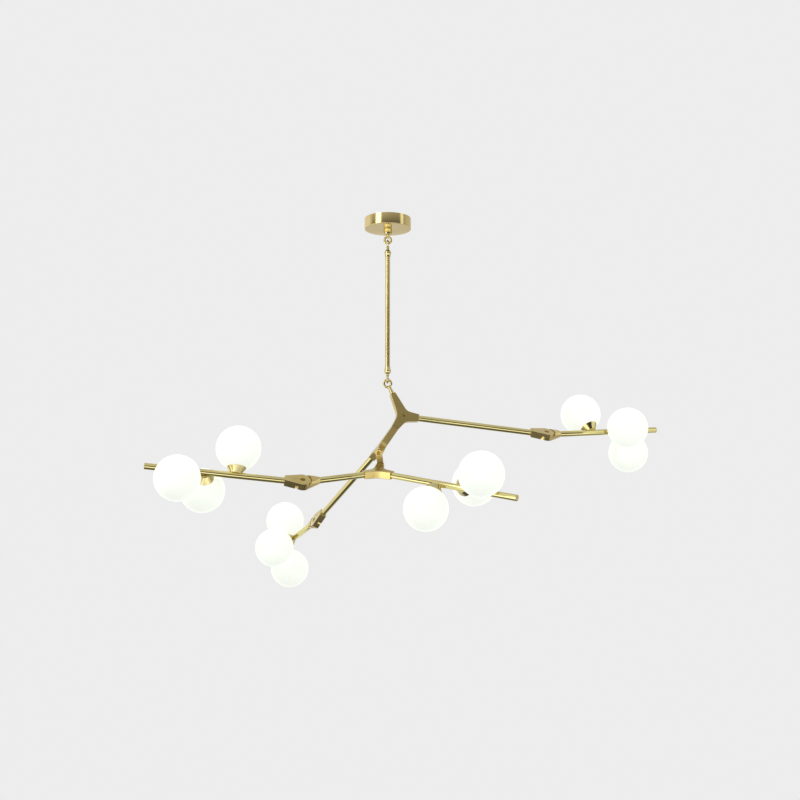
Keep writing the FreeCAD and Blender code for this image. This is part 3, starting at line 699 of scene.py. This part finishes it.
@dataclass
class HangingGroup(Group):
    """The swivel eye, the rod with its ball-ended loops, and the ring the branches hang from.

    Small and large are the rings' mean radii. Wire, necks, head, stem, ball, band (the
    cuff) and rod are radii too. Reaches, depths and waist_end are measured from the
    centre of the ring or ball, and stem_reach from the head's top.
    """

    wire: float = 3.5
    small: float = 9.5
    large: float = 10.5
    neck: float = 4.5
    neck_foot: float = 7.0
    waist_end: float = 13.0
    head: float = 6.0
    head_height: float = 3.0
    stem: float = 3.0
    stem_reach: float = 7.4
    ball: float = 10.0
    band: float = 8.2
    band_reach: float = 12.5
    rod: float = 6.8
    seat_depth: float = 4.0
    fit_gap: float = 0.05
    hub_neck: float = 33.0
    hub_pin: float = 13.0
    lean: float = 25.0

    def build(self) -> None:
        """Make every piece of the hanging chain, from the ceiling down."""
        self.swivel_eye()
        (_, _, low), (_, _, high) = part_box("rod")
        self.loop("rod_top_loop", high, -1)
        self.loop("rod_bottom_loop", low, 1)
        length = (high - low) / MM
        bar = rounded([(0, 0, 0), (self.rod, 0, 0.5), (self.rod, length, 0.5), (0, length, 0)])
        piece("rod_bar", [lathed(bar, Seat(low * Z_AXIS, X_AXIS, Z_AXIS), segments=64)],
              self.finishes.rod, ROD, ["rod"])
        self.hub_eye()

    def swivel_eye(self) -> None:
        """Make the swivel eye: a wire ring, its neck, a thin stem and the head that turns."""
        (_, _, low), (_, _, high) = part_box("top_eye")
        centre = (low + (self.small + self.wire) * MM) * Z_AXIS
        top = (high - centre[2]) / MM
        under, foot = top - self.head_height, top - self.stem_reach
        flare = 0.6  # how much wider the neck leaves the ring
        shank = rounded([
            (0, self.small, 0), (self.neck + flare, self.small, 0),
            (self.neck, self.waist_end, 1.2), (self.neck, foot, 0.5), (self.stem, foot, 0.2),
            (self.stem, under, 0.2), (self.head, under, 0.3), (self.head, top, 0.4), (0, top, 0)])
        piece("swivel_eye_ring", [wire_ring(centre, Y_AXIS, self.small, self.wire),
                                  lathed(shank, Seat(centre, X_AXIS, Z_AXIS), segments=48)],
              self.finishes.turned, EYE, ["top_eye"])

    def loop(self, node: str, rod_end: float, sign: int) -> None:
        """Make one loop: a wire ring, a waisted neck, a ball and a cuff that the rod enters.

        The profile runs from the ring down the neck and round the ball to the cuff's seat.

        Args:
            node: the CAD node that it stands for.
            rod_end: height of the rod's end in the cuff, in metres.
            sign: 1 if the rod is above the ring, -1 if it is below.
        """
        (_, _, low), (_, _, high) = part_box(node)
        ring_end = high if sign < 0 else low
        centre = (ring_end + sign * (self.small + self.wire) * MM) * Z_AXIS
        middle = abs(rod_end - centre[2]) / MM - self.seat_depth
        collar = math.degrees(math.acos(self.band / self.ball))
        join = math.degrees(math.acos(self.neck / self.ball))
        overlap = 4  # degrees by which the ball runs on past the neck, to meet its hollow curve
        sphere = arc((0, middle), self.ball, overlap - join, collar, steps=40)
        flare, waist = self.neck + 0.7, self.neck - 0.2
        waist_start, waist_stop = self.waist_end - 0.2, sphere[0, 1] - 1.4
        neck = rounded([
            (0, self.small, 0), (flare, self.small, 0), (waist, waist_start, 1.2),
            (waist, waist_stop, 0.9), (*sphere[0], 0)])
        mouth, seat = middle + self.band_reach, middle + self.seat_depth
        bore = self.rod + self.fit_gap
        cuff = rounded([
            (*sphere[-1], 0), (self.band, mouth, 0.5), (bore, mouth, 0.2), (bore, seat, 0),
            (0, seat, 0)])
        profile = np.vstack([neck[:-1], sphere, cuff[1:]])
        piece(node + "_ball", [wire_ring(centre, X_AXIS, self.small, self.wire),
                               lathed(profile, Seat(centre, X_AXIS, sign * Z_AXIS),
                                      segments=56)],
              self.finishes.turned, ROD, [node])

    def hub_eye(self) -> None:
        """Make the ring on the upper hub: a wire ring, its leaning neck, a foot and a pin."""
        _, (_, _, high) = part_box("hub_eye")
        centre = (high - (self.large + self.wire) * MM) * Z_AXIS
        lean = math.radians(self.lean)
        down = math.sin(lean) * X_AXIS - math.cos(lean) * Z_AXIS
        foot, end = self.hub_neck, self.hub_neck + self.hub_pin
        cone, cone_end, band_start = self.neck_foot - 0.6, foot - 4, foot - 3
        neck = rounded([
            (0, self.large, 0), (self.neck, self.large, 0), (cone, cone_end, 1.5),
            (self.neck_foot, band_start, 0.6), (self.neck_foot, foot, 0.4),
            (self.stem, foot, 0), (self.stem, end, 0), (0, end, 0)])
        piece("hub_eye_ring", [wire_ring(centre, Y_AXIS, self.large, self.wire),
                               lathed(neck, Seat.along(centre, down), segments=48)],
              self.finishes.turned, FRAME, ["hub_eye"])


@dataclass
class Frame(Group):
    """The three hubs, the link plate and the small screws that hold them."""

    edge: float = 0.35
    screw_edge: float = 0.9

    def build(self) -> None:
        """Refine each machined piece."""
        for node in ("hub_upper", "hub_middle", "hub_lower", "link_plate"):
            self.machine(node, "_milled", self.finishes.hub, FRAME, SATIN, self.edge)
        machined_copy("small_screws", self.nodes["hub_and_link_screws"], self.finishes.screw,
                      FRAME, self.screw_edge)


@dataclass
class Knuckle(Group):
    """A half-lap hinge between an inner and an outer tube."""

    side: str
    edge: float = 0.35
    screw_edge: float = 0.2

    def build(self) -> None:
        """Refine both halves and the pivot screw."""
        for half, body in (("_knuckle_inner", FRAME), ("_knuckle_outer", self.side + "_branch")):
            self.machine(self.side + half, "_milled", self.finishes.knuckle, body, SATIN,
                         self.edge)
        machined_copy(self.side + "_pivot", self.nodes[self.side + "_knuckle_screw"],
                      self.finishes.screw, FRAME, self.screw_edge)


@dataclass
class Branch(Group):
    """One tube with its three lamp units: cups, lampholders, bulbs and opal globes.

    Heights in a lamp unit (out, the cup's base, floor and top) are measured from the
    tube's axis, and the lampholder's groove from the lampholder's foot.
    """

    side: str
    body: str
    tube_node: str
    tube_radius: float = 8.6
    inner_wall: float = 1.5
    fit_gap: float = 0.05
    plug: float = 8.0
    cap_height: float = 2.0
    globe_radius: float = 60.0
    globe_wall: float = 2.5
    mouth: float = 12.0
    out: float = 77.0
    cup_foot: float = 14.0
    cup_rim: float = 26.0
    cup_hole: float = 4.0
    cup_base: float = 5.0
    cup_floor: float = 10.5
    cup_top: float = 22.1
    cup_wall: float = 1.7
    holder_radius: float = 10.0
    holder_height: float = 22.0
    groove_low: float = 7.0
    groove_high: float = 10.0
    groove_depth: float = 0.8
    bulb_radius: float = 8.0
    bulb_length: float = 45.0
    seats: list[Seat] = field(default_factory=list)

    def build(self) -> None:
        """Make the tube, its cap and every lamp unit."""
        start, direction, length = tube_line(self.nodes[self.tube_node])
        cap = np.mean(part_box(self.side + "_end_cap"), axis=0)
        if float((cap - start) @ direction) < length / 2:
            start, direction = start + direction * length, -direction
        self.tube(self.side + "_tube_drawn", self.tube_node, self.body, start, direction, length,
                  WALLS[self.side])
        self.cap(Seat.along(start + direction * length, direction))
        for place in GLOBES[self.side]:
            node = "%s_%s_globe" % (self.side, place)
            centre = ball_centre(self.nodes[node], self.globe_radius)
            foot = start + direction * float((centre - start) @ direction)
            self.seats.append(Seat(foot, direction, unit(centre - foot)))
            self.globe(node, self.seats[-1])
        self.cups()
        self.holders()
        self.bulbs()

    def tube(self, name: str, node: str, body: str, start: Array, direction: Array,
             length: float, wall: float) -> None:
        """Make one drawn tube: a closed wall profile turned about its axis.

        Args:
            name, node, body: the piece's name, the CAD node that it stands for, its body.
            start, direction, length: the tube's line, as tube_line gives it.
            wall: in millimetres.
        """
        r, n = self.tube_radius, length / MM
        profile = rounded([
            (r - wall, 0, 0.2), (r, 0, 0.4), (r, n, 0.4), (r - wall, n, 0.2)], closed=True)
        piece(name, [lathed(profile, Seat.along(start, direction), closed=True)],
              self.finishes.tube, body, [node])

    def inner_tube(self) -> None:
        """Make the tube between the hub and the knuckle."""
        node = self.side + "_inner_tube"
        self.tube(node + "_drawn", node, FRAME, *tube_line(self.nodes[node]), self.inner_wall)

    def cap(self, seat: Seat) -> None:
        """Make the end cap: a shallow dome over the tube's mouth with a plug inside.

        Args:
            seat: the centre of the tube's mouth, with Z out of it.
        """
        r, top = self.tube_radius, self.cap_height
        plug = r - WALLS[self.side] - self.fit_gap
        dome, shoulder = r - 2.5, top - 0.7
        profile = rounded([
            (0, -self.plug, 0), (plug, -self.plug, 0.4), (plug, 0, 0), (r, 0, 0.25),
            (r, shoulder, 0.8), (dome, top, 1.0), (0, top, 0)])
        piece(self.side + "_cap_domed", [lathed(profile, seat)], self.finishes.turned,
              self.body, [self.side + "_end_cap"])

    def globe(self, node: str, seat: Seat) -> None:
        """Blow one globe: an outer and an inner sphere joined by a rounded lip at the mouth.

        Args:
            node: the CAD node that it stands for.
            seat: the foot of its lamp unit on the tube's axis.
        """
        r, inner = self.globe_radius, self.globe_radius - self.globe_wall
        open_out = math.degrees(math.asin(self.mouth / r))
        open_in = math.degrees(math.asin(self.mouth / inner))
        skin = arc((0, self.out), r, 90, -90 + open_out, steps=72)
        lining = arc((0, self.out), inner, -90 + open_in, 90, steps=40)
        skin[0, 0] = lining[-1, 0] = 0.0
        piece(node + "_blown", [lathed(np.vstack([skin, lining]), seat, segments=112)],
              self.finishes.glass, self.body, [node])

    def units(self, ending: str, profile: Array, steps: int, finish: Material, slot: str,
              node: str, closed: bool = False) -> None:
        """Make one turned shape in every lamp unit, as one piece, as piece and lathed do."""
        piece(self.side + ending, [lathed(profile, seat, steps, closed) for seat in self.seats],
              finish, self.body, [self.side + node])

    def cups(self) -> None:
        """Spin the conical cups, each with a foot on the tube, a flared wall and a rolled rim."""
        foot, rim, hole, wall = self.cup_foot, self.cup_rim, self.cup_hole, self.cup_wall
        base, floor, top = self.cup_base, self.cup_floor, self.cup_top
        bead, bead_top, band = foot + 0.4, base + 1.2, top - 0.6
        profile = rounded([
            (hole, base, 0), (foot, base, 0.5), (bead, bead_top, 0.5), (rim, band, 0.6),
            (rim, top, 0.3), (rim - wall, top, 0.4), (foot - 1, floor, 0.6), (hole, floor, 0)],
            closed=True)
        self.units("_cups_spun", profile, 88, self.finishes.turned, POLISHED, "_cups", True)

    def holders(self) -> None:
        """Make the ceramic lampholders: drums with a shallow groove whose sides slope."""
        r, low, top = self.holder_radius, self.cup_floor, self.cup_floor + self.holder_height
        slope, inside = 0.6, self.holder_radius - self.groove_depth
        start, end = low + self.groove_low, low + self.groove_high
        profile = rounded([
            (0, low, 0), (r, low, 0.4), (r, start, 0.3), (inside, start + slope, 0.3),
            (inside, end - slope, 0.3), (r, end, 0.3), (r, top, 1.2), (0, top, 0)])
        self.units("_holders_fired", profile, 40, self.finishes.ceramic, "lampholder_ceramic",
                   "_lampholders")

    def bulbs(self) -> None:
        """Make the capsule bulbs: a straight envelope with a round tip."""
        r, low = self.bulb_radius, self.cup_floor + self.holder_height
        centre = low + self.bulb_length - r
        tip = arc((0, centre), r, 0, 90, steps=16)
        tip[-1, 0] = 0.0
        wall = rounded([(0, low, 0), (r, low, 1.0), (r, centre - 1, 0)])
        self.units("_bulbs_frosted", np.vstack([wall, tip]), 40, self.finishes.bulb,
                   "bulb_glass", "_bulbs")


# -------- stage
@dataclass(frozen=True)
class Softbox:
    """One rectangular soft lamp, which neither the camera nor the metal sees."""

    name: str
    where: tuple[float, float, float]
    width: float
    height: float
    watts: float
    target: tuple[float, float, float] = (0.0, 0.0, -0.7)

    def hang(self) -> None:
        """Put the lamp in the scene, turned towards its target."""
        lamp = bpy.data.lights.new(self.name, "AREA")
        lamp.shape = "RECTANGLE"
        lamp.size, lamp.size_y, lamp.energy = self.width, self.height, self.watts
        obj = link(self.name, lamp)
        away = np.subtract(self.where, self.target)
        yaw = math.atan2(away[0], -away[1])
        pitch = math.atan2(math.hypot(away[0], away[1]), away[2])
        obj.location = self.where
        obj.rotation_euler = (pitch, 0, yaw)
        obj.visible_camera = False
        obj.visible_glossy = False


@dataclass(frozen=True)
class Window:
    """A tall window that the metal mirrors.

    Turn, to the right of the viewer's side, and half its width are in degrees. Height is
    the rise of a ray to its middle. It ends at the first fade above and below that, and is
    fully bright within the second and over core of its half width.
    """

    turn: float
    half: float
    strength: float
    height: float = 0.25
    fade: Pair = (0.45, 0.35)
    core: float = 0.7

    def pane(self, tree: Tree, turn: Value, rise: Value) -> Socket:
        """Return the window's brightness where a ray of that turn and rise meets it, or 0."""
        off = sums(tree, "SUBTRACT", turn, math.radians(self.turn))
        edges = (math.radians(self.half), math.radians(self.half * self.core))
        across = remap(tree, sums(tree, "ABSOLUTE", off), edges)
        above = sums(tree, "SUBTRACT", rise, self.height)
        tall = remap(tree, sums(tree, "ABSOLUTE", above), self.fade, (0.0, self.strength))
        return sums(tree, "MULTIPLY", across, tall)


@dataclass
class Studio:
    """Camera, soft lamps, world and pale floor.

    The tones are what metal sees on the viewer's side and behind the lamp: a ray's rise,
    from -1 straight down to 1 straight up, and the brightness, as a share of gloss. Side
    gain is how much brighter it is at the far left, and how much darker at the far right.
    Between the fade distances the floor turns into the backdrop.
    """

    focal_px: float = 1196.0
    image_px: float = 800.0
    sensor_mm: float = 36.0
    tilt_deg: float = 8.191
    eye_m: tuple[float, float, float] = (0.0358, -3.3959, -1.0255)
    clip_m: float = 100.0
    floor_m: float = -2.35
    floor_half_m: float = 30.0
    backdrop: str = "#EDEDED"
    floor_colour: str = "#DCDCDC"
    fade_m: Pair = (1.2, 3.4)
    fade: Pair = (0.7, 1.0)
    room: tuple[str, float] = ("#F2F3F4", 0.55)
    gloss: float = 2.0
    tint: tuple[float, float, float] = (1.0, 0.985, 0.95)
    front_tones: Tones = (
        (-1.0, 0.10), (-0.95, 0.09), (-0.90, 0.065), (-0.78, 0.065), (-0.70, 0.14),
        (-0.62, 0.50), (-0.54, 0.92), (-0.38, 1.0), (-0.28, 0.92), (-0.20, 0.35),
        (-0.13, 0.04), (0.16, 0.03), (0.22, 0.08), (0.28, 0.16), (0.36, 0.25), (0.55, 0.33),
        (0.8, 0.40), (1.0, 0.34))
    back_tones: Tones = (
        (-1.0, 0.05), (-0.85, 0.06), (-0.72, 0.20), (-0.6, 0.38), (-0.45, 0.35), (-0.3, 0.31),
        (-0.1, 0.42), (0.1, 0.42), (0.4, 0.35), (0.7, 0.36), (1.0, 0.34))
    turn_over: Pair = (-0.3, 0.3)
    side_gain: Pair = (1.3, 0.80)
    windows: tuple[Window, ...] = (Window(-47.0, 15.0, 1.5), Window(75.0, 10.0, 0.45))
    softboxes: tuple[Softbox, ...] = (
        Softbox("key", (-2.2, -2.6, 1.0), 1.6, 1.6, 40),
        Softbox("fill", (2.8, -2.4, -0.4), 1.2, 2.0, 24, (0.1, 0.0, -0.7)),
        Softbox("top", (0.0, 0.6, 1.6), 2.0, 2.0, 18))

    def build(self) -> None:
        """Set the whole stage."""
        bpy.context.scene.view_settings.view_transform = "Standard"
        self.camera()
        self.world()
        self.floor()
        for softbox in self.softboxes:
            softbox.hang()

    def camera(self) -> None:
        """Place the camera where the photograph was taken from."""
        lens = bpy.data.cameras.new("view")
        lens.sensor_width = self.sensor_mm
        lens.lens = self.focal_px / self.image_px * self.sensor_mm
        lens.clip_end = self.clip_m
        obj = link("view", lens)
        obj.location = self.eye_m
        obj.rotation_euler = (math.radians(90 + self.tilt_deg), 0, 0)
        bpy.context.scene.camera = obj

    def world(self) -> None:
        """Light everything softly; the camera sees the pale backdrop, metal sees the studio.

        The studio is worked out from the direction of the reflected ray: tones on the
        viewer's side, an even mid tone behind the lamp, and two windows.
        """
        world = bpy.data.worlds.new("studio")
        world.use_nodes = True
        tree = world.node_tree
        tree.nodes.clear()
        path = add(tree, "LightPath").outputs
        where = add(tree, "TexCoord").outputs["Generated"]
        right, away, rise = add(tree, "SeparateXYZ", {0: where}).outputs
        forward = sums(tree, "MULTIPLY", away, -1.0)
        spot = remap(tree, rise, (-1.0, 1.0))
        side = remap(tree, forward, self.turn_over, interpolation_type="SMOOTHSTEP")
        hall = blend(tree, side, self.tones(tree, spot, self.back_tones),
                     self.tones(tree, spot, self.front_tones))
        gain = remap(tree, right, (-1.0, 1.0), self.side_gain)
        studio = blend(tree, 1.0, hall, gain, "MULTIPLY")
        turn = sums(tree, "ARCTAN2", right, forward)
        for window in self.windows:
            studio = blend(tree, 1.0, studio, window.pane(tree, turn, rise), "ADD")
        colour, strength = self.room
        unseen = choose(tree, path["Is Glossy Ray"], light(tree, srgb(colour), strength),
                        light(tree, studio, self.gloss))
        add(tree, "OutputWorld", {0: choose(tree, path["Is Camera Ray"], unseen,
                                            light(tree, srgb(self.backdrop), 1.0))})
        bpy.context.scene.world = world

    def tones(self, tree: Tree, place: Value, table: Tones) -> Socket:
        """Turn a table of tones into a ramp over the rise, 0 straight down to 1 straight up."""
        ramp = add(tree, "ValToRGB", {0: place})
        stops = ramp.color_ramp.elements
        stops.remove(stops[1])
        for index, (rise, tone) in enumerate(table):
            spot = (rise + 1) / 2
            stop = stops[0] if index == 0 else stops.new(spot)
            stop.position = spot
            stop.color = (*(tone * share for share in self.tint), 1.0)
        return ramp.outputs[0]

    def floor(self) -> None:
        """Lay the floor: pale where the lamp's shadow falls, fading into the backdrop.

        Metal doesn't see the floor, since the studio's tones hold it.
        """
        half, level = self.floor_half_m, self.floor_m
        mesh = bpy.data.meshes.new("floor")
        mesh.from_pydata([(-half, -half, level), (half, -half, level), (half, half, level),
                          (-half, half, level)], [], [(0, 1, 2, 3)])
        material = bpy.data.materials.new("pale floor")
        material.use_nodes = True
        tree = material.node_tree
        tree.nodes.clear()
        path = add(tree, "LightPath").outputs
        place = add(tree, "TexCoord").outputs["Object"]
        flat = add(tree, "VectorMath", {0: place, 1: (1.0, 1.0, 0.0)},
                   operation="MULTIPLY").outputs[0]
        far = add(tree, "VectorMath", {0: flat}, operation="LENGTH").outputs["Value"]
        fade = remap(tree, far, self.fade_m, self.fade, interpolation_type="SMOOTHSTEP")
        matt = add(tree, "BsdfDiffuse", {"Color": srgb(self.floor_colour)}).outputs[0]
        glow = add(tree, "Emission", {"Color": srgb(self.backdrop)}).outputs[0]
        clear = add(tree, "BsdfTransparent").outputs[0]
        share = sums(tree, "MULTIPLY", path["Is Camera Ray"], fade)
        both = choose(tree, share, matt, glow)
        final = choose(tree, path["Is Glossy Ray"], both, clear)
        add(tree, "OutputMaterial", {"Surface": final})
        mesh.materials.append(material)
        link("floor", mesh)


def main() -> None:
    """Build the lamp sub-assembly by sub-assembly, then the studio."""
    logging.basicConfig(level=logging.INFO, format="%(name)s %(message)s")
    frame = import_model()
    nodes = frame["nodes"]
    finishes = Finishes()
    CeilingGroup(nodes, finishes).build()
    HangingGroup(nodes, finishes).build()
    Frame(nodes, finishes).build()
    for side in ("left", "right", "far"):
        Knuckle(nodes, finishes, side).build()
        branch = Branch(nodes, finishes, side, side + "_branch", side + "_outer_tube")
        branch.build()
        branch.inner_tube()
    Branch(nodes, finishes, "front", FRAME, "front_tube").build()
    Studio().build()


if __name__ == "__main__":
    main()
